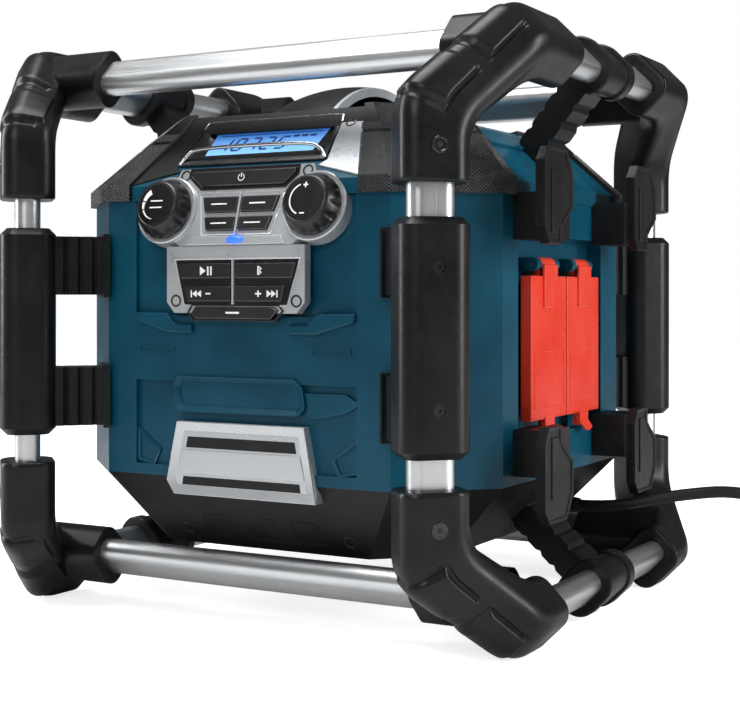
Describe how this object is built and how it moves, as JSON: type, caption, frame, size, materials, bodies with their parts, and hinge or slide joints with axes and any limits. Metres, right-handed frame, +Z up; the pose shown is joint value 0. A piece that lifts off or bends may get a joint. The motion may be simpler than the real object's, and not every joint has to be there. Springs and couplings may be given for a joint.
{
  "type": "jobsite radio",
  "caption": "Jobsite radio with an octagonal body in a tubular roll cage, leaning control panel, screen, corner grilles, side power outlets under covers and a domed media bay.",
  "frame": {"origin": "on the floor, under the middle of the roll cage", "axes": "+Z up, the control panel faces -Y, +X to the right seen from the front"},
  "size_m": [0.717, 0.5927, 0.4481],
  "materials": {
    "tube": "satin",
    "cage_moulding": "matte",
    "screw_steel": "polished",
    "shell_teal": "satin",
    "shell_black": "matte",
    "silver_paint": "satin metallic paint",
    "key_grey": "satin",
    "knob_silver": "turned",
    "screen": "glossy, lit from behind",
    "board": "satin",
    "cover_red": "satin",
    "outlet_grey": "satin",
    "core_steel": "satin",
    "cord_black": "matte"
  },
  "bodies": {
    "frame": {"base_cover": "shell_black", "cage_screws": "screw_steel", "clamp_bottom_left": "cage_moulding", "clamp_bottom_right": "cage_moulding", "clamp_top_left": "cage_moulding", "clamp_top_right": "cage_moulding", "control_board": "board", "control_panel": "silver_paint", "cord_cleats": "shell_teal", "cord_coil": "cord_black", "cord_gland": "cord_black", "corner_grilles": "shell_black", "corner_speakers": "shell_black", "cross_rails": "tube", "display_bezel": "shell_black", "display_guard": "screw_steel", "display_screen": "screen", "elbow_bottom_front_left": "cage_moulding", "elbow_bottom_front_right": "cage_moulding", "elbow_bottom_rear_left": "cage_moulding", "elbow_bottom_rear_right": "cage_moulding", "elbow_top_front_left": "cage_moulding", "elbow_top_front_right": "cage_moulding", "elbow_top_rear_left": "cage_moulding", "elbow_top_rear_right": "cage_moulding", "front_housing": "shell_teal", "hinge_pins": "screw_steel", "key_panel": "silver_paint", "mains_cord": "cord_black", "outlets": "outlet_grey", "plug": "cord_black", "port_plate": "silver_paint", "posts": "tube", "power_supply": "core_steel", "rear_housing": "shell_teal", "roof_cover": "shell_teal", "side_rails": "tube", "sleeve_front_left": "cage_moulding", "sleeve_front_right": "cage_moulding", "sleeve_rear_left": "cage_moulding", "sleeve_rear_right": "cage_moulding", "status_lamp": "screen", "subwoofer": "shell_black"},
    "volume_knob": {"volume_knob": "knob_silver"},
    "tuning_knob": {"tuning_knob": "knob_silver"},
    "lid": {"bay_lid": "shell_teal", "lid_trim": "silver_paint"},
    "cover_front": {"outlet_cover_front": "cover_red"},
    "cover_rear": {"outlet_cover_rear": "cover_red"},
    "power_key": {"power_key": "key_grey"},
    "key_upper_left": {"key_upper_left": "key_grey"},
    "key_upper_right": {"key_upper_right": "key_grey"},
    "key_lower_left": {"key_lower_left": "key_grey"},
    "key_lower_right": {"key_lower_right": "key_grey"},
    "play_key": {"play_key": "key_grey"},
    "pairing_key": {"pairing_key": "key_grey"},
    "seek_down_key": {"seek_down_key": "key_grey"},
    "seek_up_key": {"seek_up_key": "key_grey"},
    "source_key": {"source_key": "key_grey"}
  },
  "joints": [
    {"name": "volume_knob_turn", "type": "hinge", "parent": "frame", "child": "volume_knob", "pos_m": [-0.0654, -0.18397, 0.31362], "axis": [0, 0.9613, -0.2756], "continuous": true},
    {"name": "tuning_knob_turn", "type": "hinge", "parent": "frame", "child": "tuning_knob", "pos_m": [0.0654, -0.18397, 0.31362], "axis": [0, 0.9613, -0.2756], "continuous": true},
    {"name": "power_key_press", "type": "slide", "parent": "frame", "child": "power_key", "axis": [0, 0.9613, -0.2756], "range_m": [0, 0.0012], "stiffness_N_per_m": 600, "springref_m": -0.0015},
    {"name": "key_upper_left_press", "type": "slide", "parent": "frame", "child": "key_upper_left", "axis": [0, 0.9613, -0.2756], "range_m": [0, 0.0012], "stiffness_N_per_m": 600, "springref_m": -0.0015},
    {"name": "key_upper_right_press", "type": "slide", "parent": "frame", "child": "key_upper_right", "axis": [0, 0.9613, -0.2756], "range_m": [0, 0.0012], "stiffness_N_per_m": 600, "springref_m": -0.0015},
    {"name": "key_lower_left_press", "type": "slide", "parent": "frame", "child": "key_lower_left", "axis": [0, 0.9613, -0.2756], "range_m": [0, 0.0012], "stiffness_N_per_m": 600, "springref_m": -0.0015},
    {"name": "key_lower_right_press", "type": "slide", "parent": "frame", "child": "key_lower_right", "axis": [0, 0.9613, -0.2756], "range_m": [0, 0.0012], "stiffness_N_per_m": 600, "springref_m": -0.0015},
    {"name": "play_key_press", "type": "slide", "parent": "frame", "child": "play_key", "axis": [0, 1, 0], "range_m": [0, 0.0012], "stiffness_N_per_m": 600, "springref_m": -0.0015},
    {"name": "pairing_key_press", "type": "slide", "parent": "frame", "child": "pairing_key", "axis": [0, 1, 0], "range_m": [0, 0.0012], "stiffness_N_per_m": 600, "springref_m": -0.0015},
    {"name": "seek_down_key_press", "type": "slide", "parent": "frame", "child": "seek_down_key", "axis": [0, 1, 0], "range_m": [0, 0.0012], "stiffness_N_per_m": 600, "springref_m": -0.0015},
    {"name": "seek_up_key_press", "type": "slide", "parent": "frame", "child": "seek_up_key", "axis": [0, 1, 0], "range_m": [0, 0.0012], "stiffness_N_per_m": 600, "springref_m": -0.0015},
    {"name": "source_key_press", "type": "slide", "parent": "frame", "child": "source_key", "axis": [0, 1, 0], "range_m": [0, 0.0012], "stiffness_N_per_m": 600, "springref_m": -0.0015},
    {"name": "cover_front_hinge", "type": "hinge", "parent": "frame", "child": "cover_front", "pos_m": [0.184, -0.041, 0.271], "axis": [0, -1, 0], "range_deg": [0, 90]},
    {"name": "cover_rear_hinge", "type": "hinge", "parent": "frame", "child": "cover_rear", "pos_m": [0.184, 0.029, 0.271], "axis": [0, -1, 0], "range_deg": [0, 90]},
    {"name": "lid_hinge", "type": "hinge", "parent": "frame", "child": "lid", "pos_m": [-0.08366, 0, 0.391], "axis": [0, -1, 0], "range_deg": [0, 75]}
  ]
}
